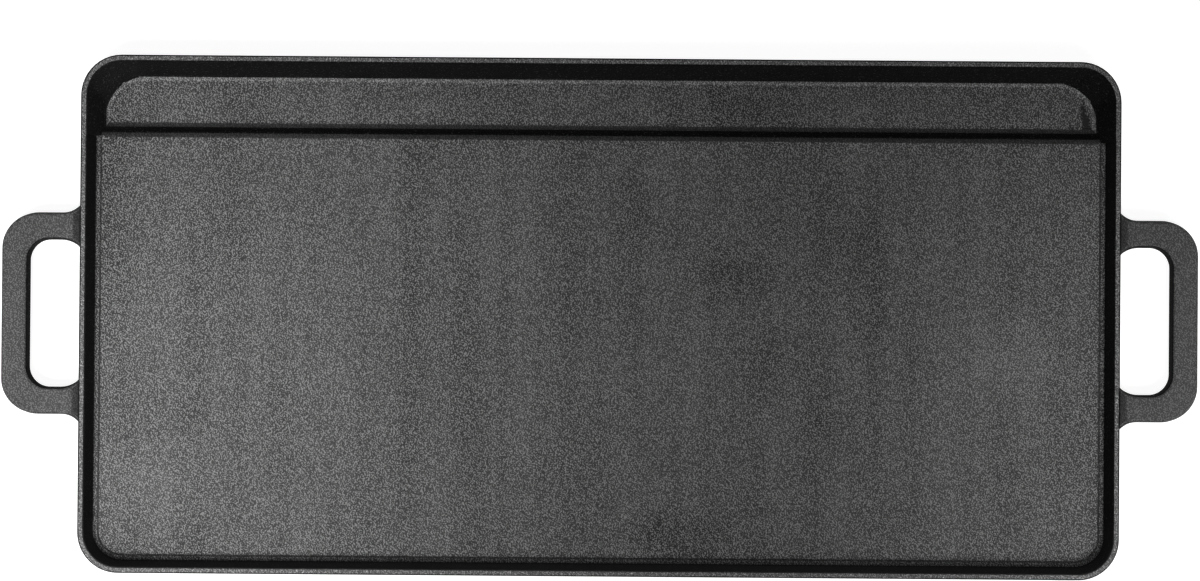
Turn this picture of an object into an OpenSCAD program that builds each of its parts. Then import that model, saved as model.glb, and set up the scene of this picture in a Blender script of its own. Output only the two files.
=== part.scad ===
// Rectangular cast-iron camp griddle: a flat cooking plate inside a low drafted wall,
// a grease trough along the back edge and a loop handle at each end.
// The origin is at the middle of the footprint, X runs from handle to handle,
// +Y points to the trough and +Z is up.

/* [Body] */
// Length of the tray over its rim, without the handles
body_length = 508; // [360:1:640]
// Width of the tray over its rim, from the front to the trough side
body_width = 253; // [200:1:340]
// Height of the rim above the surface that the griddle stands on
rim_height = 26; // [22:0.5:33]
// Plan radius of the tray's four outer corners
corner_radius = 20; // [17:0.5:26]

/* [Wall] */
// Width of the flat land on top of the wall
rim_width = 3.2; // [2.8:0.1:4.4]
// Rounding of the two edges of the rim land
rim_edge_radius = 0.9; // [0.4:0.1:1.1]
// Lean of the wall's outer face from upright, in degrees
outer_draft = 4; // [1:0.5:5]
// Lean of the wall's inner face beside the cooking plate, in degrees
inner_draft = 7; // [4:0.5:9]
// Fillet between the wall and the cooking plate
plate_fillet = 2.5; // [1.5:0.1:3]
// Width of the foot that the wall stands on
foot_width = 4.2; // [3.4:0.1:5]
// Lean of the foot's inner face from upright, in degrees
foot_draft = 10; // [5:1:14]
// Fillet between the foot and the underside of the plate
foot_fillet = 2; // [1:0.1:2.4]
// Rounding of the two edges of the foot
foot_edge_radius = 1; // [0.4:0.1:1.4]

/* [Cooking plate] */
// Height of the cooking surface above the foot
plate_height = 10; // [9:0.5:13]
// Thickness of the cooking plate
plate_thickness = 5; // [4:0.5:7]
// Radius of the round-bottomed crease that runs along the foot of the wall
crease_radius = 0.8; // [0.6:0.1:1]
// Depth of that crease below the cooking surface
crease_depth = 0.25; // [0.15:0.05:0.4]

/* [Grease trough] */
// Thickness of the trough's floor, which rests level with the foot
trough_thickness = 4; // [3:0.5:5.5]
// Lean of the trough's back and end walls from upright, in degrees
trough_draft = 15.5; // [12:0.5:17]
// Fillet between those walls and the trough's floor
trough_fillet = 3; // [2:0.1:3.6]
// Lean of the trough's two rounded back corners from upright, in degrees
trough_corner_draft = 26; // [23:0.5:30]
// Plan radius of the flat floor at the back corners
trough_corner_radius = 17; // [13:0.5:22]
// Distance from the outer back edge to the sharp top edge of the step
step_setback = 37.2; // [35:0.1:48]
// Slope of the step between the plate and the trough, in degrees from level
step_slope = 60; // [52:1:68]
// Rounding at the top and at the bottom of the step, held to what its slope has room for
step_radius = 5.2; // [3:0.1:5.4]
// Thickness of the step's sloping wall
step_thickness = 5; // [4:0.1:6]
// Fillet under the step, where its wall meets the underside of the plate
step_root_fillet = 3; // [1.5:0.1:3.4]
// Rounding of the belly's lower front edge under the trough
belly_edge_radius = 2; // [1:0.1:2.6]

/* [Handles] */
// Distance that a handle stands out from the rim
handle_reach = 39.2; // [32:0.1:52]
// Length of a handle over its two arms, at the top
handle_length = 98; // [84:0.2:124]
// Width of the grip bar and of the arms, at the top
handle_bar = 12.2; // [9:0.1:14]
// Thickness of a handle from top to bottom
handle_thickness = 9.4; // [7:0.1:10.5]
// Lean of the handle's sides from upright, in degrees; the bar is wider below than on top
handle_draft = 5; // [1:0.5:6]
// Drop from the rim to the top of a handle
handle_drop = 8; // [7:0.1:9]
// Plan radius of a handle's outer corners
handle_outer_radius = 17.2; // [12:0.1:20]
// Plan radius of the finger opening's corners beside the grip bar
handle_hole_radius = 10.8; // [6:0.1:12]
// Plan radius of the finger opening's corners beside the wall, held to the room that the opening has
handle_web_radius = 13.8; // [5:0.1:15]
// Plan radius of the flare where an arm's outer side runs into the wall
handle_flare_radius = 13.3; // [4:0.1:16]
// Rounding of the handle's long edges
handle_edge_radius = 1.6; // [0.8:0.1:2.2]
// Fillet that rises from a handle's top and falls from its underside to the wall
handle_root_fillet = 6; // [3:0.1:6]

/* [Hidden] */
$fn = 72;

// Share of its radius by which a corner's circle stands off from touching the flats, so that they cross
arc_lap = 0.003;
// Share of its radius by which a corner's cutter reaches past the sharp corner
corner_margin = 0.25;
// Reach of a cutter past the faces that it cuts
over = 1;
// Flat stretch left between the end of a fillet and a seam
seam_land = 0.8;
// Largest share of the step's slope that the rounding at either end may take
step_share = 0.45;
// Angle by which the fillet round a trough corner stops short of a quarter turn, at each end
ring_end = 1;
// Turn that puts the start of a full revolve on the far side of a trough corner, where nothing is cut
corner_seam = 225;

// Rounds a seam's place up to a tenth, so that the two pieces that meet there have exactly the same place
function tenth(place) = ceil(place * 10) / 10;

half_length = body_length / 2;
half_width = body_width / 2;
plate_underside = plate_height - plate_thickness;

// Inward distances from the outer edge of the rim, on the wall's section
foot_outer = rim_height * tan(outer_draft);
foot_inner = foot_outer + foot_width;
foot_root = foot_inner + plate_underside * tan(foot_draft);
wall_foot = rim_width + (rim_height - plate_height) * tan(inner_draft);
fillet_end = wall_foot + plate_fillet * tan(45 - inner_draft / 2);
crease_rise = crease_radius - crease_depth;
crease_half = sqrt(crease_radius * crease_radius - crease_rise * crease_rise);
crease_centre = fillet_end + crease_half / 2;
foot_root_end = foot_root + foot_fillet * tan(45 - foot_draft / 2);
plate_seam = tenth(max(crease_centre + crease_half, foot_root_end) + seam_land);
trough_foot = rim_width + (rim_height - trough_thickness) * tan(trough_draft);
trough_seam = tenth(trough_foot + trough_fillet * tan(45 - trough_draft / 2) + seam_land);

// The trough's rounded corners turn about this point, measured from both outer edges
trough_turn = trough_seam + trough_corner_radius;
trough_turn_radius = trough_turn - trough_foot;

// Distances from the outer back edge, on the step's section
step_drop = plate_height - trough_thickness;
step_run = step_drop / tan(step_slope);
step_blend = min(step_radius * tan(step_slope / 2), step_share * step_drop / sin(step_slope));
step_arc = step_blend / tan(step_slope / 2);
step_offset = step_thickness / sin(step_slope);
belly_edge = step_setback + step_offset - plate_height / tan(step_slope);
belly_root = step_setback + step_offset - plate_thickness / tan(step_slope);
belly_root_end = belly_root + step_root_fillet * tan(step_slope / 2);
step_front_seam = tenth(max(step_setback + step_blend, belly_root_end) + seam_land);
step_back_seam = -tenth(step_run + step_blend + seam_land - step_setback);
side_seam = half_width - tenth(step_setback + step_blend / 2);

// Heights and plan places of a handle
handle_top = rim_height - handle_drop;
handle_bottom = handle_top - handle_thickness;
handle_half = handle_length / 2;
hole_half = handle_half - handle_bar;
hole_reach = handle_reach - handle_bar;
handle_spread = handle_thickness * tan(handle_draft);
// The flare and the web end where the wall's foot would carry on up, so their ends lie inside the wall
handle_root = half_length - foot_outer - handle_spread;
flare_turn = handle_root + handle_flare_radius;
web_radius = min(handle_web_radius, half_length + hole_reach - handle_hole_radius - handle_root - seam_land);
web_turn = handle_root + web_radius;
// Width of the strip that follows each edge of a handle; two strips side by side lap over
edge_strip = 0.75 * handle_bar;
// Depth inside the rim's outer edge at which the wall is solid all the way up, from its foot to its rim
root_depth = (foot_outer + foot_edge_radius + rim_width) / 2;

// One corner of an outline whose points are [x, y, radius]: the two ends of its flats, its arc's centre
// and a point past the sharp corner. The circle of an outside corner stands a little past both flats,
// and that of an inside corner a little short of them.
function arc_of(before, point, after) =
    let (here = [point.x, point.y])
    let (back = [before.x, before.y] - here)
    let (ahead = [after.x, after.y] - here)
    let (along_back = back / norm(back))
    let (along_ahead = ahead / norm(ahead))
    let (bisector = (along_back + along_ahead) / norm(along_back + along_ahead))
    let (half_angle = acos(along_back * along_ahead) / 2)
    let (inset = point[2] * (is_convex(before, point, after) ? 1 - arc_lap : 1 + arc_lap))
    let (reach = inset / tan(half_angle))
    [
        here + along_back * reach, here + along_ahead * reach,
        here + bisector * inset / sin(half_angle), here - bisector * point[2] * corner_margin
    ];

// True where an outline that runs counter-clockwise turns outwards
function is_convex(before, point, after) =
    (point.x - before.x) * (after.y - point.y) > (point.y - before.y) * (after.x - point.x);

// An outline of [x, y, radius] points, counter-clockwise, with true arcs at its corners.
// An inside corner starts as a flat and an outside corner as a sharp edge, and both are then cut round.
module outline(points) {
    count = len(points);
    corners = [for (i = [0 : count - 1])
        [points[(i + count - 1) % count], points[i], points[(i + 1) % count]]];
    rounded = [for (c = corners) if (c[1][2] > 0) c];
    difference() {
        polygon([for (c = corners)
            let (arc = c[1][2] > 0 ? arc_of(c[0], c[1], c[2]) : [])
            each c[1][2] == 0 || is_convex(c[0], c[1], c[2]) ? [[c[1].x, c[1].y]] : [arc[0], arc[1]]]);
        for (c = rounded) {
            arc = arc_of(c[0], c[1], c[2]);
            if (is_convex(c[0], c[1], c[2])) difference() {
                polygon([arc[0], arc[3], arc[1]]);
                translate(arc[2]) circle(c[1][2]);
            }
            else translate(arc[2]) circle(c[1][2]);
        }
    }
}

// Points of the wall's section that every wall shares, measured outwards from the corner's centre
function wall_points() = [
    [corner_radius - foot_outer, 0, foot_edge_radius],
    [corner_radius, rim_height, rim_edge_radius],
    [corner_radius - rim_width, rim_height, rim_edge_radius]
];

// Section of the wall beside the cooking plate, with its foot and a strip of the plate, before it is creased
module plate_wall_blank() {
    outline(concat(wall_points(), [
        [corner_radius - wall_foot, plate_height, plate_fillet],
        [corner_radius - plate_seam, plate_height, 0],
        [corner_radius - plate_seam, plate_underside, 0],
        [corner_radius - foot_root, plate_underside, foot_fillet],
        [corner_radius - foot_inner, 0, foot_edge_radius]
    ]));
}

// The same section with the crease along the foot of the wall
module plate_wall_section() {
    difference() {
        plate_wall_blank();
        translate([corner_radius - crease_centre, plate_height + crease_rise]) circle(crease_radius);
    }
}

// Section of the wall round the trough, with a strip of the trough's floor
module trough_wall_section() {
    outline(concat(wall_points(), [
        [corner_radius - trough_foot, trough_thickness, trough_fillet],
        [corner_radius - trough_seam, trough_thickness, 0],
        [corner_radius - trough_seam, 0, 0]
    ]));
}

// Runs a wall section along +Y from one place to another, its outer side towards +X
module run_section(from, to) {
    translate([0, to, 0]) rotate([90, 0, 0]) linear_extrude(to - from) children();
}

// The plate's front corners turn about the same points as the wall does
module cooking_plate() {
    plate_corner = corner_radius - plate_seam;
    color("dimgray")
        translate([0, 0, plate_underside])
            linear_extrude(plate_thickness) difference() {
                translate([plate_seam - half_length, plate_seam - half_width])
                    square([body_length - 2 * plate_seam, body_width - plate_seam - step_front_seam]);
                for (side = [0, 1]) mirror([side, 0])
                    translate([corner_radius - half_length, corner_radius - half_width])
                        difference() {
                            translate([-corner_radius, -corner_radius]) square(corner_radius);
                            circle(plate_corner);
                        }
            }
}

// The step runs from wall to wall, and its ends are coped to fit the walls
module trough_step() {
    color("dimgray")
        difference() {
            rotate([90, 0, 90])
                linear_extrude(2 * (half_length - root_depth), center = true)
                    outline([
                        [half_width - step_front_seam, plate_underside, 0],
                        [half_width - belly_root, plate_underside, step_root_fillet],
                        [half_width - belly_edge, 0, belly_edge_radius],
                        [half_width - step_back_seam, 0, 0],
                        [half_width - step_back_seam, trough_thickness, 0],
                        [half_width - step_setback + step_run, trough_thickness, step_arc],
                        [half_width - step_setback, plate_height, step_arc],
                        [half_width - step_front_seam, plate_height, 0]
                    ]);
            for (side = [0, 1]) mirror([side, 0, 0]) {
                trough_end();
                side_wall() plate_wall_blank();
            }
        }
}

// Plan of the trough's flat floor, with its two rounded back corners
module trough_floor_plan() {
    outline([
        [trough_seam - half_length, half_width - step_back_seam, 0],
        [half_length - trough_seam, half_width - step_back_seam, 0],
        [half_length - trough_seam, half_width - trough_seam, trough_corner_radius],
        [trough_seam - half_length, half_width - trough_seam, trough_corner_radius]
    ]);
}

module trough_floor() {
    color("dimgray") linear_extrude(trough_thickness) trough_floor_plan();
}

module front_wall() {
    color("dimgray") {
        translate([0, corner_radius - half_width, 0])
            rotate([0, 0, -90])
                run_section(corner_radius - half_length, half_length - corner_radius)
                    plate_wall_section();
        for (side = [0, 1]) mirror([side, 0, 0])
            translate([half_length - corner_radius, corner_radius - half_width, 0])
                rotate([0, 0, -90])
                    rotate_extrude(angle = 90) plate_wall_section();
    }
}

// Runs a section along the straight wall beside the cooking plate, on the +X side
module side_wall() {
    translate([half_length - corner_radius, 0, 0])
        run_section(corner_radius - half_width, side_seam) children();
}

module right_wall() {
    color("dimgray") side_wall() plate_wall_section();
}

module left_wall() {
    color("dimgray") mirror([1, 0, 0]) side_wall() plate_wall_section();
}

// The straight wall at the +X end of the trough
module trough_end() {
    translate([half_length - corner_radius, 0, 0])
        run_section(side_seam, half_width - corner_radius) trough_wall_section();
}

// Space inside a rounded back corner of the trough, as a half section about the turn's axis
function corner_space(floor_radius) = [
    [0, trough_thickness, 0],
    [trough_turn_radius, trough_thickness, floor_radius],
    [trough_turn_radius + (rim_height - trough_thickness) * tan(trough_corner_draft), rim_height, 0],
    [0, rim_height, 0]
];

// Fills a back corner of the trough, so that its floor turns on a wider radius than the rim does
module trough_corner() {
    fill_side = trough_turn - root_depth;
    rim_centre = trough_turn - corner_radius;
    ring_radius = trough_turn_radius + trough_fillet;
    floor_end = trough_corner_radius + seam_land / 2;
    difference() {
        translate([half_length - trough_turn, half_width - trough_turn, 0]) difference() {
            linear_extrude(rim_height - rim_edge_radius) difference() {
                square(fill_side);
                translate([rim_centre, rim_centre]) difference() {
                    square(corner_radius);
                    circle(corner_radius - root_depth);
                }
            }
            rotate([0, 0, corner_seam]) rotate_extrude() outline(corner_space(0));
        }
        translate([0, 0, -over]) linear_extrude(trough_thickness + 2 * over) trough_floor_plan();
    }
    // Fillet between the corner and the floor, whose ends lie inside the straight walls' fillets
    translate([half_length - trough_turn, half_width - trough_turn, 0])
        rotate([0, 0, ring_end]) rotate_extrude(angle = 90 - 2 * ring_end) difference() {
            polygon([
                [floor_end, trough_thickness - over], [ring_radius, trough_thickness - over],
                [ring_radius, trough_thickness + trough_fillet], [floor_end, trough_thickness]
            ]);
            outline(corner_space(trough_fillet));
        }
}

// The wall round the trough: its back, its two ends and its two rounded corners
module trough_walls() {
    translate([0, half_width - corner_radius, 0])
        rotate([0, 0, 90])
            run_section(corner_radius - half_length, half_length - corner_radius)
                trough_wall_section();
    for (side = [0, 1]) mirror([side, 0, 0]) {
        trough_end();
        translate([half_length - corner_radius, half_width - corner_radius, 0])
            rotate_extrude(angle = 90) trough_wall_section();
        trough_corner();
    }
}

module back_wall() {
    color("dimgray") trough_walls();
}

// Section of a strip of a handle: its rounded edge is at the given place and the strip lies towards +X
module edge_strip_section(edge) {
    translate([edge, 0])
        outline([
            [-handle_spread, handle_bottom, handle_edge_radius],
            [edge_strip, handle_bottom, 0],
            [edge_strip, handle_top, 0],
            [0, handle_top, handle_edge_radius]
        ]);
}

// The same strip on the other side of its rounded edge
module far_strip_section(edge) {
    translate([edge, 0]) mirror([1, 0]) edge_strip_section(0);
}

// Fillet between the wall and a handle's flat face at a level; it rises for way 1 and falls for way -1
module root_fillet(level, way) {
    far_level = min(level, level + way * (handle_root_fillet + over));
    face = half_length - (rim_height - far_level) * tan(outer_draft);
    sunk = handle_root_fillet * arc_lap;
    root = half_length - root_depth;
    intersection() {
        run_section(hole_half - web_radius, handle_half + handle_flare_radius)
            difference() {
                translate([root, level - (way > 0 ? sunk : handle_root_fillet)])
                    square([face + handle_root_fillet - root, handle_root_fillet + sunk]);
                translate([face + handle_root_fillet, level + way * (handle_root_fillet - sunk)])
                    circle(handle_root_fillet);
            }
        // Only the flat between the arm's rounded edges carries the fillet
        linear_extrude(rim_height) difference() {
            translate([root, hole_half - web_radius])
                square([handle_reach, handle_bar + web_radius + handle_flare_radius]);
            translate([flare_turn, handle_half + handle_flare_radius])
                circle(handle_flare_radius + handle_edge_radius);
            translate([web_turn, hole_half - web_radius])
                circle(web_radius + handle_edge_radius);
        }
    }
}

// A loop handle on the +X side: rounded edges follow the outer outline and the finger opening
module handle() {
    outer_turn = half_length + handle_reach - handle_outer_radius;
    hole_turn = half_length + hole_reach - handle_hole_radius;
    difference() {
        union() {
            // Grip bar
            translate([half_length + handle_reach, 0, 0])
                run_section(handle_outer_radius - handle_half, handle_half - handle_outer_radius)
                    far_strip_section(0);
            translate([half_length + hole_reach, 0, 0])
                run_section(handle_hole_radius - hole_half, hole_half - handle_hole_radius)
                    edge_strip_section(0);
            for (side = [0, 1]) mirror([0, side, 0]) {
                // Outer corner, and the corner of the opening beside the bar
                translate([outer_turn, handle_half - handle_outer_radius, 0])
                    rotate_extrude(angle = 90) far_strip_section(handle_outer_radius);
                translate([hole_turn, hole_half - handle_hole_radius, 0])
                    rotate_extrude(angle = 90) edge_strip_section(handle_hole_radius);
                // Arm
                translate([0, handle_half, 0]) rotate([0, 0, 90])
                    run_section(-outer_turn, -flare_turn) far_strip_section(0);
                translate([0, hole_half, 0]) rotate([0, 0, 90])
                    run_section(-hole_turn, -web_turn) edge_strip_section(0);
                // Flare and web that carry the arm into the wall
                translate([flare_turn, handle_half + handle_flare_radius, 0]) rotate([0, 0, 180])
                    rotate_extrude(angle = 90) edge_strip_section(handle_flare_radius);
                translate([web_turn, hole_half - web_radius, 0]) rotate([0, 0, 90])
                    rotate_extrude(angle = 90) edge_strip_section(web_radius);
                // Core of the arm's root, between the strips of its flare and its web
                translate([half_length - root_depth, hole_half + handle_bar / 4, handle_bottom])
                    cube([flare_turn - half_length + root_depth, handle_bar / 2, handle_thickness]);
                root_fillet(handle_top, 1);
                root_fillet(handle_bottom, -1);
            }
        }
        side_wall() plate_wall_blank();
        translate([half_length - root_depth - handle_length, -handle_length, 0])
            cube([handle_length, 2 * handle_length, rim_height]);
    }
}

module right_handle() {
    color("dimgray") handle();
}

module left_handle() {
    color("dimgray") mirror([1, 0, 0]) handle();
}

cooking_plate();
trough_step();
trough_floor();
front_wall();
left_wall();
right_wall();
back_wall();
left_handle();
right_handle();
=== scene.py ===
# %% [markdown]
# # A cast-iron camp griddle, dressed in Blender
# The griddle is one iron casting: a flat cooking plate inside a low wall, a grease trough along the back,
# and a loop handle at each end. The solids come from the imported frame, in metres, with Z up and the trough
# at +Y. This lesson keeps the solids whose shape is already right, sweeps one piece again with Geometry
# Nodes, and spends most of its effort on the iron's skin and on the light.

# %% Load the frame
import math

import bmesh
import bpy
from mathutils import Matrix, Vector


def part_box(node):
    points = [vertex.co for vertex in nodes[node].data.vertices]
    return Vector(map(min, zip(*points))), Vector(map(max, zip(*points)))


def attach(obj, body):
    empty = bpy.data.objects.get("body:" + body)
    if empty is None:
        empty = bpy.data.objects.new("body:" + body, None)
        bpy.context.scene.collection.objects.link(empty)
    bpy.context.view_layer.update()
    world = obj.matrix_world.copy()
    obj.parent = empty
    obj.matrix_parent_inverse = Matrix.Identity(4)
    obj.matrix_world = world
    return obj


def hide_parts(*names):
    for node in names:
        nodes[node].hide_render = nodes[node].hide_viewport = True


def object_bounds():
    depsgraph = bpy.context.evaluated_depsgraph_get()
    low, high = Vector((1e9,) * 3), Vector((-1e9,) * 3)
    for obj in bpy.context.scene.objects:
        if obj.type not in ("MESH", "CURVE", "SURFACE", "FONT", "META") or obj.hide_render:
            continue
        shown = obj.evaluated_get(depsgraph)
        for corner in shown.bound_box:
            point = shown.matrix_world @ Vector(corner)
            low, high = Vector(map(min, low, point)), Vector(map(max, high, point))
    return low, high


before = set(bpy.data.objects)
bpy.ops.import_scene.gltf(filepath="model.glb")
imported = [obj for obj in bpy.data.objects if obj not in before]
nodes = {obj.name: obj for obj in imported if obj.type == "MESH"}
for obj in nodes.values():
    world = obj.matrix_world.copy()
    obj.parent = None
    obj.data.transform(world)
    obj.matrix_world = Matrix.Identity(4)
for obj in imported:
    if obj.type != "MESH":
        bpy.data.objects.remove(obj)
cad_low, cad_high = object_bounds()
scene = bpy.context.scene
MM = 0.001
print("frame:", len(nodes), "nodes, box", [round(b - a, 4) for a, b in zip(cad_low, cad_high)])

# %% [markdown]
# ## Camera
# The photograph looks almost straight down from about a metre and a half. A long lens there shows a little of
# each inner wall, and the griddle is turned by less than half a degree in the frame. The place and the turn
# come from fitting the rim's four edges and both handles, so no lens shift is needed.

# %% Camera
IMAGE_WIDTH, IMAGE_HEIGHT = 1200, 581
FOCAL_PIXELS = 3179.6
CAMERA_PLACE = (-0.0002, -0.0009, 1.576)
CAMERA_TURN = (0.516, -0.013, 0.4435)

lens = bpy.data.cameras.new("overhead_lens")
lens.sensor_fit = "HORIZONTAL"
lens.sensor_width = 36
lens.lens = FOCAL_PIXELS / IMAGE_WIDTH * lens.sensor_width
camera = bpy.data.objects.new("overhead_camera", lens)
camera.location = CAMERA_PLACE
camera.rotation_euler = [math.radians(degrees) for degrees in CAMERA_TURN]
scene.collection.objects.link(camera)
scene.camera = camera
print("camera: lens", round(lens.lens, 2), "mm for an image of", IMAGE_WIDTH, "x", IMAGE_HEIGHT)

# %% [markdown]
# ## Floor and surrounding air
# The background is pure white. The floor is white paint that also glows for rays that come from the camera
# or from a reflection, so it reads as white while it still takes the griddle's shadow. The world does the
# same and lights everything else only faintly. A small helper adds nodes to a tree, here and in the rest of
# the lesson.

# %% Floor and world
def node_maker(tree):
    """A function that adds a node to a tree and sets its properties."""
    def make(kind, **settings):
        node = tree.nodes.new(kind)
        for key, value in settings.items():
            setattr(node, key, value)
        return node
    return make


def white_to_eye(tree):
    """A value that is 1 for rays from the camera, a glossy surface or a clear one."""
    make = node_maker(tree)
    path = make("ShaderNodeLightPath")
    first = make("ShaderNodeMath", operation="MAXIMUM")
    second = make("ShaderNodeMath", operation="MAXIMUM")
    tree.links.new(path.outputs["Is Camera Ray"], first.inputs[0])
    tree.links.new(path.outputs["Is Glossy Ray"], first.inputs[1])
    tree.links.new(first.outputs[0], second.inputs[0])
    tree.links.new(path.outputs["Is Transmission Ray"], second.inputs[1])
    return second.outputs[0]


AIR_LIGHT = 0.12
world = bpy.data.worlds.new("studio_air")
world.use_nodes = True
scene.world = world
air = world.node_tree
seen = white_to_eye(air)
level = air.nodes.new("ShaderNodeMapRange")
level.inputs["To Min"].default_value = AIR_LIGHT
level.inputs["To Max"].default_value = 1
air.links.new(seen, level.inputs["Value"])
background = air.nodes["Background"]
background.inputs["Color"].default_value = (1, 1, 1, 1)
air.links.new(level.outputs[0], background.inputs["Strength"])

FLOOR_SIZE = 8
FLOOR_PAINT = 0.4
FLOOR_GLOW = 0.93
FLOOR_DROP = 0.3 * MM
half = FLOOR_SIZE / 2
floor_mesh = bpy.data.meshes.new("paper_floor")
corners = [(-half, -half), (half, -half), (half, half), (-half, half)]
floor_mesh.from_pydata([(x, y, -FLOOR_DROP) for x, y in corners], [], [(0, 1, 2, 3)])
floor = bpy.data.objects.new("paper_floor", floor_mesh)
scene.collection.objects.link(floor)
paper = bpy.data.materials.new("white_paper")
paper.use_nodes = True
sheet = paper.node_tree
paint = sheet.nodes["Principled BSDF"]
paint.inputs["Base Color"].default_value = (FLOOR_PAINT, FLOOR_PAINT, FLOOR_PAINT, 1)
paint.inputs["Roughness"].default_value = 0.9
paint.inputs["Specular IOR Level"].default_value = 0.1
paint.inputs["Emission Color"].default_value = (1, 1, 1, 1)
glow = node_maker(sheet)("ShaderNodeMath", operation="MULTIPLY")
glow.inputs[1].default_value = FLOOR_GLOW
sheet.links.new(white_to_eye(sheet), glow.inputs[0])
sheet.links.new(glow.outputs[0], paint.inputs["Emission Strength"])
floor_mesh.materials.append(paper)
print("floor:", FLOOR_SIZE, "m square")

# %% [markdown]
# ## Lamps
# The griddle is lit as on a copy stand: a soft box over each end, the left one stronger, and a third box
# higher up. All hang in front of it, so the step into the trough, which faces away, stays dark while the
# fillet at the back of the trough is bright; the finishes add painted shade on the step and painted light on
# that fillet. The end boxes have a narrow spread: each brightens its own end of the plate and leaves the
# middle darker, and patches of painted light at the ends add to it. They stand close, so they are hidden from
# the camera.

# %% Lamps
def soft_box(name, place, aim, size, watts, spread):
    """A square area lamp that faces a point, with its light held inside an angle in degrees."""
    lamp = bpy.data.lights.new(name, "AREA")
    lamp.shape = "SQUARE"
    lamp.size = size
    lamp.energy = watts
    lamp.spread = math.radians(spread)
    box = bpy.data.objects.new(name, lamp)
    box.location = place
    box.visible_camera = False
    reach = [a - p for a, p in zip(aim, place)]
    flat = math.hypot(reach[0], reach[1])
    box.rotation_euler = (math.atan2(flat, -reach[2]), 0, math.atan2(reach[1], reach[0]) - math.pi / 2)
    scene.collection.objects.link(box)
    return box


# Each: name, place, aim, size in metres, power in watts, spread in degrees
lamps = [
    soft_box("left_box", (-0.38, -0.40, 1.0), (-0.275, -0.06, 0.01), 0.3, 1.04, 40),
    soft_box("right_box", (0.40, -0.34, 0.7), (0.34, -0.09, 0.01), 0.25, 0.46, 45),
    soft_box("front_box", (0, -0.68, 1.8), (0, 0, 0.01), 0.5, 0.8, 90),
]
print("lamps:", [(b.name, b.data.energy) for b in lamps])

# %% [markdown]
# ## The iron's skin
# Sand casting leaves a fine pebble, about half a millimetre to a millimetre across, and the baked oil on it
# is uneven: broad clouds, and faint streaks along Y where it was wiped. One node group makes these patterns
# from Object coordinates, so they run on across the pieces without a seam. Each material uses them with its
# own values.

# %% Pattern group
def weighted_sum(tree, make, terms):
    """The sum of value times weight over the given pairs."""
    total = None
    for value, weight in terms:
        step = make("ShaderNodeMath", operation="MULTIPLY_ADD")
        tree.links.new(value, step.inputs[0])
        step.inputs[1].default_value = weight
        step.inputs[2].default_value = 0
        if total:
            tree.links.new(total, step.inputs[2])
        total = step.outputs[0]
    return total


SKIN_SCALES = {"Pebble Scale": 1600.0, "Cloud Scale": 16.0, "Streak Scale": 70.0, "Glint Scale": 1000.0}
STREAK_STRETCH = (1, 0.06, 1)
PEBBLE_TIP = (0.6, 0.5, 0.4)
SLANT_REACH = 0.2
GRAIN_POWER = 3
# Shares of the pebble's heights in the slant, and of the patterns in the tone
SLANT_SHARES = {"pebble": 1.6, "pebble_right": -0.9, "pebble_back": -0.7}
TONE_SHARES = {"shaded_grain": 1.25, "cloud": 0.14, "streak": 0.16}

skin = bpy.data.node_groups.new("cast_skin", "ShaderNodeTree")
for name, value in SKIN_SCALES.items():
    socket = skin.interface.new_socket(name, in_out="INPUT", socket_type="NodeSocketFloat")
    socket.default_value = value
for name in ("Tone", "Cloud", "Painted Glints", "Height"):
    skin.interface.new_socket(name, in_out="OUTPUT", socket_type="NodeSocketFloat")
make = node_maker(skin)
entry = make("NodeGroupInput")
leave = make("NodeGroupOutput")
place = make("ShaderNodeTexCoord")
drawn_out = make("ShaderNodeVectorMath", operation="MULTIPLY")
drawn_out.inputs[1].default_value = STREAK_STRETCH
skin.links.new(place.outputs["Object"], drawn_out.inputs[0])
# A noise is smoother in the planes of its own lattice, so the pebble's is tipped away from every flat face
tipped = make("ShaderNodeVectorRotate", rotation_type="EULER_XYZ")
tipped.inputs["Rotation"].default_value = PEBBLE_TIP
skin.links.new(place.outputs["Object"], tipped.inputs["Vector"])


def moved(shift):
    """The tipped coordinates moved by a shift in millimetres."""
    node = make("ShaderNodeVectorMath", operation="ADD")
    node.inputs[1].default_value = [value * MM for value in shift]
    skin.links.new(tipped.outputs[0], node.inputs[0])
    return node.outputs[0]


# Each pattern: place, scale, detail, and the part of the noise that is spread over 0 to 1
PATTERNS = {
    "pebble": (tipped.outputs[0], "Pebble Scale", 1.0, (0.0, 1.0)),
    "pebble_right": (moved((0.38, -0.28, 0.36)), "Pebble Scale", 1.0, (0.0, 1.0)),
    "pebble_back": (moved((0.28, 0.38, -0.36)), "Pebble Scale", 1.0, (0.0, 1.0)),
    "cloud": (place.outputs["Object"], "Cloud Scale", 4.0, (0.3, 0.7)),
    "streak": (drawn_out.outputs[0], "Streak Scale", 2.0, (0.3, 0.7)),
    # Sparse bright specks: painted glints on the rim and the inner walls
    "painted_glint": (place.outputs["Object"], "Glint Scale", 0.0, (0.68, 0.78)),
}
spread = {}
for name, (where, scale, detail, limits) in PATTERNS.items():
    noise = make("ShaderNodeTexNoise", noise_dimensions="3D")
    noise.inputs["Detail"].default_value = detail
    skin.links.new(where, noise.inputs["Vector"])
    skin.links.new(entry.outputs[scale], noise.inputs["Scale"])
    ramp = make("ShaderNodeMapRange")
    ramp.inputs["From Min"].default_value = limits[0]
    ramp.inputs["From Max"].default_value = limits[1]
    skin.links.new(noise.outputs["Fac"], ramp.inputs["Value"])
    spread[name] = ramp.outputs[0]
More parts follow.
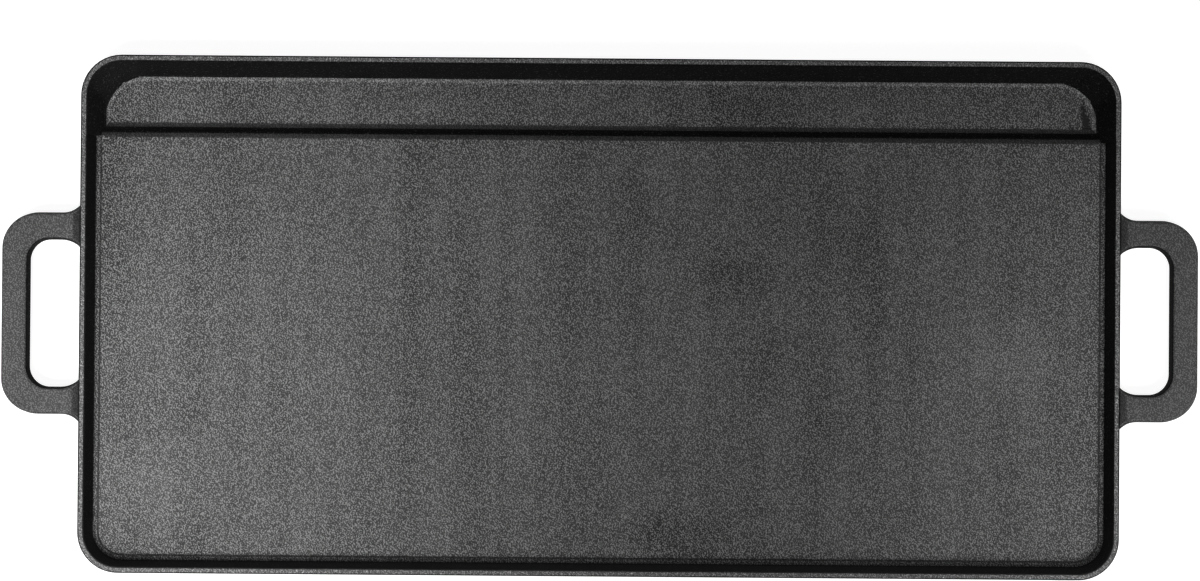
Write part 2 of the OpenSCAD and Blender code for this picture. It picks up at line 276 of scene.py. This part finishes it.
# The grain is painted shade: the pebble's relief as slanting light would shade it, drawn into the colour as
# its height less the heights a little way off, which leaves only fine detail. Cubed, it is even to the eye on
# both sides of its mean.
slant = weighted_sum(skin, make, [(spread[name], share) for name, share in SLANT_SHARES.items()])
slant_range = make("ShaderNodeMapRange")
slant_range.inputs["From Min"].default_value = -SLANT_REACH
slant_range.inputs["From Max"].default_value = SLANT_REACH
skin.links.new(slant, slant_range.inputs["Value"])
shaded_grain = make("ShaderNodeMath", operation="POWER")
shaded_grain.inputs[1].default_value = GRAIN_POWER
skin.links.new(slant_range.outputs[0], shaded_grain.inputs[0])
spread["shaded_grain"] = shaded_grain.outputs[0]
tone = weighted_sum(skin, make, [(spread[name], share) for name, share in TONE_SHARES.items()])
results = {"Tone": tone, "Cloud": spread["cloud"], "Painted Glints": spread["painted_glint"], "Height": spread["pebble"]}
for name, value in results.items():
    skin.links.new(value, leave.inputs[name])
print("group:", skin.name, "with", len(skin.nodes), "nodes")

# %% [markdown]
# ## Finishes
# The same skin makes six finishes, three of them painted light or shade. The flat surfaces are grey where use
# has rubbed the oil. The steep inner walls and the rim's rounded edges are painted almost black as deep
# shade, and creases and other rounded edges get a paler painted shade. The rim is scuffed, with bright specks
# that are painted glints. The fillet at the trough's back is painted brighter, as painted light. The outside
# and the handles are plain seasoned iron. Some finishes also have soft patches of stain and of painted light,
# each with a place, a reach and a strength, and an edge that a noise makes uneven. A painted shadow is the
# same with an even edge.

# %% Iron finishes
RAGGED_SCALE = 55
RAGGED_DETAIL = 3
RAGGED_REACH = 24 * MM


def ragged_place(tree, make):
    """Object coordinates pushed about by a noise, so that round patches get uneven edges."""
    place = make("ShaderNodeTexCoord").outputs["Object"]
    noise = make("ShaderNodeTexNoise", noise_dimensions="3D")
    noise.inputs["Scale"].default_value = RAGGED_SCALE
    noise.inputs["Detail"].default_value = RAGGED_DETAIL
    tree.links.new(place, noise.inputs["Vector"])
    push = make("ShaderNodeVectorMath", operation="MULTIPLY_ADD")
    push.inputs[1].default_value = [RAGGED_REACH] * 3
    tree.links.new(noise.outputs["Color"], push.inputs[0])
    tree.links.new(place, push.inputs[2])
    middle = make("ShaderNodeVectorMath", operation="SUBTRACT")
    middle.inputs[1].default_value = [RAGGED_REACH / 2] * 3
    tree.links.new(push.outputs[0], middle.inputs[0])
    return middle.outputs[0]


def iron(name, dark, pale, rough, gloss, bump, painted_glints=0.0, stains_and_light=(), painted_shadows=()):
    """Seasoned cast iron whose tone runs from dark to pale over the cast skin."""
    material = bpy.data.materials.new(name)
    material.use_nodes = True
    tree = material.node_tree
    make = node_maker(tree)
    bsdf = tree.nodes["Principled BSDF"]
    bsdf.inputs["Specular IOR Level"].default_value = gloss
    group = make("ShaderNodeGroup", node_tree=skin)
    terms = [(group.outputs["Tone"], 1.0)]
    # Painted glints: bright specks added to the tone
    if painted_glints:
        terms.append((group.outputs["Painted Glints"], painted_glints))
    patches = []
    # Stains and patches of painted light get uneven edges
    if stains_and_light:
        uneven = ragged_place(tree, make)
        patches += [(uneven, ragged_patch) for ragged_patch in stains_and_light]
    # Painted shadows take plain Object coordinates, so their edges are even
    if painted_shadows:
        even = make("ShaderNodeTexCoord").outputs["Object"]
        patches += [(even, painted_shadow) for painted_shadow in painted_shadows]
    for where, (x, y, reach_x, reach_y, strength) in patches:
        patch = make("ShaderNodeMapping", vector_type="TEXTURE")
        patch.inputs["Location"].default_value = (x * MM, y * MM, 0)
        patch.inputs["Scale"].default_value = (reach_x * MM, reach_y * MM, 1)
        tree.links.new(where, patch.inputs["Vector"])
        soft = make("ShaderNodeTexGradient", gradient_type="SPHERICAL")
        tree.links.new(patch.outputs[0], soft.inputs["Vector"])
        terms.append((soft.outputs["Fac"], strength))
    level = make("ShaderNodeMath", operation="MAXIMUM")
    level.inputs[1].default_value = 0
    tree.links.new(weighted_sum(tree, make, terms), level.inputs[0])
    colour = make("ShaderNodeMix", data_type="RGBA", clamp_factor=False)
    colour.inputs["A"].default_value = (dark, dark, dark, 1)
    colour.inputs["B"].default_value = (pale, pale, pale, 1)
    tree.links.new(level.outputs[0], colour.inputs["Factor"])
    tree.links.new(colour.outputs["Result"], bsdf.inputs["Base Color"])
    roughness = make("ShaderNodeMapRange")
    roughness.inputs["To Min"].default_value = rough[0]
    roughness.inputs["To Max"].default_value = rough[1]
    tree.links.new(group.outputs["Cloud"], roughness.inputs["Value"])
    tree.links.new(roughness.outputs[0], bsdf.inputs["Roughness"])
    relief = make("ShaderNodeBump")
    relief.inputs["Distance"].default_value = bump * MM
    tree.links.new(group.outputs["Height"], relief.inputs["Height"])
    tree.links.new(relief.outputs[0], bsdf.inputs["Normal"])
    return material


# Stains and painted light on the plate and in the trough: centre and reach in millimetres, then strength. The
# three lighter patches at the plate's ends are painted light that adds to the lamps' brighter ends; the
# darker ones are stains
STAINS_AND_PAINTED_LIGHT = [
    (-220, -84, 32, 34, 0.18), (-220, -11, 30, 50, 0.1), (200, -20, 36, 36, 0.12),
    (24, 50, 26, 28, -0.14), (61, 23, 24, 20, -0.16), (127, 33, 20, 60, -0.16), (115, -55, 16, 34, -0.14),
    (83, -25, 18, 28, -0.12), (37, -108, 36, 14, -0.2), (66, 104, 40, 12, -0.14),
]
# Painted light: the almost black shade is made paler inside the front wall and the left wall, which face away
# from the lamps
PAINTED_LIGHT_WALLS = [(0, -126, 900, 30, 3.4), (-252, 0, 30, 500, 1.0)]
# A painted shadow: a narrow dark band that slants up the trough's right end, as two patches with even edges
PAINTED_SHADOW_MARKS = [(238.5, 103, 1.5, 7, -1.6), (240.0, 96.5, 2.3, 7, -2.6)]
# Each: name, darkest and palest tone, range of roughness, gloss, relief in millimetres
plate_iron = iron("plate_iron", 0.0, 0.135, (0.5, 0.65), 0.15, 0.2, stains_and_light=STAINS_AND_PAINTED_LIGHT, painted_shadows=PAINTED_SHADOW_MARKS)
rim_iron = iron("rim_iron", 0.01, 0.115, (0.45, 0.6), 0.3, 0.2, painted_glints=2.0)
# Painted shade: an almost black, low-gloss finish for the inner walls, the rim's edges, the step's slope and
# the finger openings, with painted glints
deep_painted_shade = iron("deep_painted_shade", 0.003, 0.010, (0.8, 0.95), 0.03, 0.15, painted_glints=4.0, stains_and_light=PAINTED_LIGHT_WALLS)
shell_iron = iron("shell_iron", 0.02, 0.08, (0.5, 0.65), 0.15, 0.2)
# Painted shade, paler than the almost black one: the crease beside the plate, the step's rounded edges, and
# the handles' sides and roots
soft_painted_shade = iron("soft_painted_shade", 0.01, 0.04, (0.6, 0.75), 0.12, 0.2)
# Painted light: a paler finish for the fillet at the back of the trough
fillet_painted_light = iron("fillet_painted_light", 0.01, 0.165, (0.45, 0.6), 0.3, 0.2, painted_shadows=PAINTED_SHADOW_MARKS)
FINISHES = [shell_iron, plate_iron, rim_iron, deep_painted_shade, soft_painted_shade, fillet_painted_light]
SHELL, PLATE, RIM, DEEP_SHADE, SOFT_SHADE, FILLET_LIGHT = range(len(FINISHES))
for node in nodes.values():
    node.data.materials.clear()
    node.data.materials.append(shell_iron)
for name in ("cooking_plate", "trough_floor"):
    nodes[name].data.materials[0] = plate_iron
print("finishes:", [f.name for f in FINISHES])

# %% [markdown]
# A wall, a step or a handle carries several finishes, so each face takes its own from the place where it lies
# and the way it faces; that is how the painted shade and light are placed. The lean of a face is the upright
# part of its normal: 1 is level, 0 is plumb, and less than 0 faces the ground. Nothing below the trough's
# floor is painted black, because the painted shade goes only on the inside.

# %% Finish by facing
RIM_TOP = cad_high.z
PLATE_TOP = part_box("cooking_plate")[1].z
TROUGH_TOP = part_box("trough_floor")[1].z
RIM_EDGE = 1 * MM
# Depths below the plate: how far the crease beside it reaches, and where the trough's fillet starts
CREASE_DEPTH, FILLET_DEPTH = 0.4 * MM, 1 * MM
# Middle of a finger opening, and the end of the fillet that carries a handle into the wall
OPENING_X, ROOT_END_X = 267 * MM, 260 * MM
# Limits of lean, from faces that overhang to faces that are all but level
UNDERCUT, PLUMB, STEEP, SLOPING, ROUNDED, LEVEL = -0.2, 0.01, 0.69, 0.8, 0.96, 0.985


def wall_finish(face):
    """The finish of a wall's face: painted black shade inside, pale on the rim, painted shade in the crease
    beside the plate.
    """
    lean = face.normal.z
    inward = face.normal.x * face.center.x + face.normal.y * face.center.y < 0
    depth = PLATE_TOP - face.center.z
    if -depth > RIM_TOP - PLATE_TOP - RIM_EDGE:
        return RIM if lean > ROUNDED else DEEP_SHADE
    if lean < STEEP:
        return DEEP_SHADE if inward and lean > -PLUMB and face.center.z > TROUGH_TOP else SHELL
    # Painted shade in the crease beside the plate
    if 0 < depth < CREASE_DEPTH and lean < LEVEL:
        return SOFT_SHADE
    # Painted light on the trough's fillet below the plate
    return FILLET_LIGHT if depth > FILLET_DEPTH and lean < LEVEL else PLATE


def step_finish(face):
    """The finish of the step's face: painted black shade on the slope, painted dark shade on the rounded
    edges.
    """
    lean = face.normal.z
    if lean < PLUMB:
        return SHELL
    if lean < SLOPING:
        return DEEP_SHADE
    return SOFT_SHADE if lean < LEVEL else PLATE


def handle_finish(face):
    """The finish of a handle's face: painted black shade in the finger opening, painted shade where an arm
    rises to the wall.
    """
    lean = face.normal.z
    opening = math.copysign(OPENING_X, face.center.x)
    inward = face.normal.x * (opening - face.center.x) - face.normal.y * face.center.y > 0
    if lean < UNDERCUT:
        return SHELL
    if lean < STEEP:
        return DEEP_SHADE if inward else SOFT_SHADE
    return SOFT_SHADE if lean < LEVEL and abs(face.center.x) < ROOT_END_X else SHELL


def finish_faces(piece, choose):
    """Give each face of a piece the finish that a function chooses for it."""
    mesh = piece.data
    mesh.materials.clear()
    for finish in FINISHES:
        mesh.materials.append(finish)
    for face in mesh.polygons:
        face.material_index = choose(face)
    used = [face.material_index for face in mesh.polygons]
    print(piece.name, {f.name: used.count(i) for i, f in enumerate(FINISHES)})


# %% [markdown]
# ## The wall beside the plate
# On the casting one wall runs round three sides of the plate: up the left end, along the front and up the
# right end. It is the same section all the way, so it is a sweep. The path is a curve with four points, and a
# Geometry Nodes tree rounds its two corners, draws the section from named sizes and carries it along the
# path. The section starts as a loop of points whose places and corner radii are looked up by index, which
# keeps every size in one list. One swept piece then stands for three solids, with no joint lines on the rim.

# %% Section sizes
# Distances are inward from the rim's outer edge, heights above the ground, all in millimetres
WALL_SIZES = {
    "Corner Radius": 20, "Rim Height": 26, "Rim Width": 3.2, "Rim Edge": 0.9,
    "Foot Outer": 1.818, "Foot Inner": 6.018, "Foot Edge": 1, "Foot Root": 6.9, "Foot Fillet": 2,
    "Plate Height": 10, "Plate Underside": 5, "Wall Foot": 5.165, "Wall Fillet": 2.5,
    "Crease Start": 7.4, "Crease Middle": 7.75, "Crease End": 8.25, "Crease Bottom": 9.7, "Crease Edge": 0.15,
    "Plate Seam": 9.4,
}
# The section's points, in order: distance, height, corner radius
WALL_SECTION = [
    ("Foot Outer", None, "Foot Edge"),
    (None, "Rim Height", "Rim Edge"),
    ("Rim Width", "Rim Height", "Rim Edge"),
    ("Wall Foot", "Plate Height", "Wall Fillet"),
    ("Crease Start", "Plate Height", "Crease Edge"),
    ("Crease Middle", "Crease Bottom", "Crease Edge"),
    ("Crease End", "Plate Height", "Crease Edge"),
    ("Plate Seam", "Plate Height", None),
    ("Plate Seam", "Plate Underside", None),
    ("Foot Root", "Plate Underside", "Foot Fillet"),
    ("Foot Inner", None, "Foot Edge"),
]
print("section:", len(WALL_SECTION), "points from", len(WALL_SIZES), "sizes")


# %% Sweep tree
def sweep_tree(name, sizes, section, corner_steps, edge_steps):
    """A tree that rounds its object's curve and sweeps a section of named sizes along it."""
    tree = bpy.data.node_groups.new(name, "GeometryNodeTree")
    make = node_maker(tree)
    link = tree.links.new
    tree.interface.new_socket("Path", in_out="INPUT", socket_type="NodeSocketGeometry")
    for key in sizes:
        tree.interface.new_socket(key, in_out="INPUT", socket_type="NodeSocketFloat")
    tree.interface.new_socket("Finish", in_out="INPUT", socket_type="NodeSocketMaterial")
    tree.interface.new_socket("Wall", in_out="OUTPUT", socket_type="NodeSocketGeometry")
    entry = make("NodeGroupInput")
    # The path with its two rounded corners
    corner = make("GeometryNodeFilletCurve", mode="POLY")
    corner.inputs["Count"].default_value = corner_steps
    link(entry.outputs["Path"], corner.inputs["Curve"])
    link(entry.outputs["Corner Radius"], corner.inputs["Radius"])
    upright = make("GeometryNodeSetCurveNormal", mode="Z_UP")
    link(corner.outputs[0], upright.inputs["Curve"])
    # The section as a loop of points
    line = make("GeometryNodeCurvePrimitiveLine")
    loop = make("GeometryNodeResampleCurve", mode="COUNT")
    loop.inputs["Count"].default_value = len(section)
    link(line.outputs[0], loop.inputs["Curve"])
    index = make("GeometryNodeInputIndex")
    spot = make("GeometryNodeIndexSwitch", data_type="VECTOR")
    radius = make("GeometryNodeIndexSwitch", data_type="FLOAT")
    for switch in (spot, radius):
        while len(switch.index_switch_items) < len(section):
            switch.index_switch_items.new()
        link(index.outputs[0], switch.inputs["Index"])
    for number, (inward, height, edge) in enumerate(section):
        point = make("ShaderNodeCombineXYZ")
        if inward:
            link(entry.outputs[inward], point.inputs["X"])
        if height:
            link(entry.outputs[height], point.inputs["Y"])
        link(point.outputs[0], spot.inputs[number + 1])
        if edge:
            link(entry.outputs[edge], radius.inputs[number + 1])
    # The sweep measures its section outward and downward, so both are turned round
    turned = make("ShaderNodeVectorMath", operation="MULTIPLY")
    turned.inputs[1].default_value = (-1, -1, 1)
    link(spot.outputs[0], turned.inputs[0])
    placed = make("GeometryNodeSetPosition")
    link(loop.outputs[0], placed.inputs["Geometry"])
    link(turned.outputs[0], placed.inputs["Position"])
    closed = make("GeometryNodeSetSplineCyclic")
    closed.inputs["Cyclic"].default_value = True
    link(placed.outputs[0], closed.inputs["Geometry"])
    rounded = make("GeometryNodeFilletCurve", mode="POLY")
    rounded.inputs["Count"].default_value = edge_steps
    link(closed.outputs[0], rounded.inputs["Curve"])
    link(radius.outputs[0], rounded.inputs["Radius"])
    # Sweep, realize and finish
    swept = make("GeometryNodeCurveToMesh")
    swept.inputs["Fill Caps"].default_value = True
    link(upright.outputs[0], swept.inputs["Curve"])
    link(rounded.outputs[0], swept.inputs["Profile Curve"])
    outward = make("GeometryNodeFlipFaces")
    link(swept.outputs[0], outward.inputs[0])
    smooth = make("GeometryNodeSetShadeSmooth")
    link(outward.outputs[0], smooth.inputs["Geometry"])
    real = make("GeometryNodeRealizeInstances")
    link(smooth.outputs[0], real.inputs[0])
    finish = make("GeometryNodeSetMaterial")
    link(real.outputs[0], finish.inputs["Geometry"])
    link(entry.outputs["Finish"], finish.inputs["Material"])
    leave = make("NodeGroupOutput")
    link(finish.outputs[0], leave.inputs[0])
    return tree


def plain_mesh(maker, name):
    """The evaluated result of an object's modifiers, as a new plain mesh object; the maker is removed."""
    view = bpy.context.evaluated_depsgraph_get()
    mesh = bpy.data.meshes.new_from_object(maker.evaluated_get(view), depsgraph=view)
    mesh.name = name
    bpy.data.objects.remove(maker)
    piece = bpy.data.objects.new(name, mesh)
    scene.collection.objects.link(piece)
    return piece


# %% Even shading
SHARP = math.radians(35)


def even_shading(piece):
    """Bake normals that favour the large flats, so that the small fillets shade smoothly."""
    piece.data.set_sharp_from_angle(angle=SHARP)
    weigh = piece.modifiers.new("flats_first", "WEIGHTED_NORMAL")
    weigh.keep_sharp = True
    return plain_mesh(piece, piece.name)


# %% Sweep the wall
# The sharp edge of the rim, before it is rounded, and the place where the trough's own wall takes over
RIM_X, RIM_Y = 254 * MM, 126.5 * MM
seam_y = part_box("left_wall")[1].y
path = bpy.data.curves.new("wall_path", "CURVE")
path.dimensions = "3D"
track = path.splines.new("POLY")
track.points.add(3)
turns = [(-RIM_X, seam_y), (-RIM_X, -RIM_Y), (RIM_X, -RIM_Y), (RIM_X, seam_y)]
for point, (x, y) in zip(track.points, turns):
    point.co = (x, y, 0, 1)
wall_maker = bpy.data.objects.new("wall_maker", path)
scene.collection.objects.link(wall_maker)
tree = sweep_tree("wall_sweep", WALL_SIZES, WALL_SECTION, corner_steps=28, edge_steps=7)
sweep = wall_maker.modifiers.new("wall_sweep", "NODES")
sweep.node_group = tree
for item in tree.interface.items_tree:
    if item.name in WALL_SIZES:
        sweep[item.identifier] = WALL_SIZES[item.name] * MM
    elif item.name == "Finish":
        sweep[item.identifier] = shell_iron
pan_wall = even_shading(plain_mesh(wall_maker, "pan_wall"))
finish_faces(pan_wall, wall_finish)
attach(pan_wall, "root")
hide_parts("front_wall", "left_wall", "right_wall")

# %% [markdown]
# ## The trough's wall, the step and the handles
# These have the right shape already, but each needs more than one finish: the wall has painted black shade
# inside and painted glints on its rim, the step has painted black shade only on its slope, and a handle has
# painted black shade inside its finger opening.
# A finish by face needs a mesh of its own, so each is a copy of the solid's mesh with its loose triangles
# merged.

# %% Copies with their own finishes
MERGE_REACH = 0.001 * MM


def iron_copy(source, name):
    """A merged copy of a solid's mesh, as a piece of its own."""
    mesh = nodes[source].data.copy()
    mesh.name = name
    work = bmesh.new()
    work.from_mesh(mesh)
    bmesh.ops.remove_doubles(work, verts=work.verts, dist=MERGE_REACH)
    work.to_mesh(mesh)
    work.free()
    if "custom_normal" in mesh.attributes:
        mesh.attributes.remove(mesh.attributes["custom_normal"])
    mesh.shade_smooth()
    piece = bpy.data.objects.new(name, mesh)
    scene.collection.objects.link(piece)
    return even_shading(piece)


COPIES = [
    ("back_wall", "trough_wall", wall_finish), ("trough_step", "step_slope", step_finish),
    ("left_handle", "left_grip", handle_finish), ("right_handle", "right_grip", handle_finish),
]
for source, name, choose in COPIES:
    piece = iron_copy(source, name)
    finish_faces(piece, choose)
    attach(piece, "root")
    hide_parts(source)

# %% [markdown]
# ## Colour view
# The render shows colours through the Standard view transform.

# %% Colour view
scene.view_settings.view_transform = "Standard"
